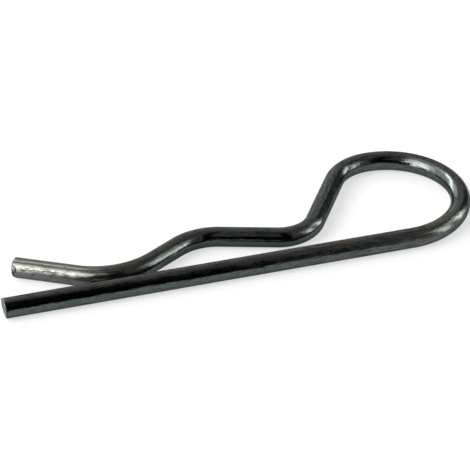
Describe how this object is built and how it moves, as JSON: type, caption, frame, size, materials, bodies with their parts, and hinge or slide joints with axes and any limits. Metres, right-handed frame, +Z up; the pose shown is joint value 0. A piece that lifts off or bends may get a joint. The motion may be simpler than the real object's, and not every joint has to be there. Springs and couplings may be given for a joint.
{
  "type": "hitch r clip pin",
  "caption": "Hitch R clip of round zinc-plated spring wire: a straight leg for a shaft's cross hole, a loop, and a waved leg that snaps round the shaft.",
  "frame": {"origin": "on the floor, under the middle of the clip's outline as it lies on its side", "axes": "+X runs along the straight leg from its cut end to the loop, +Y from the straight leg to the bent leg, +Z up, square to the plane of the wire"},
  "size_m": [0.0974, 0.033, 0.004],
  "materials": {
    "wire": "zinc-plated drawn spring steel wire, glossy, with fine lengthwise draw lines"
  },
  "bodies": {
    "root": {"clip": "wire"}
  },
  "joints": []
}
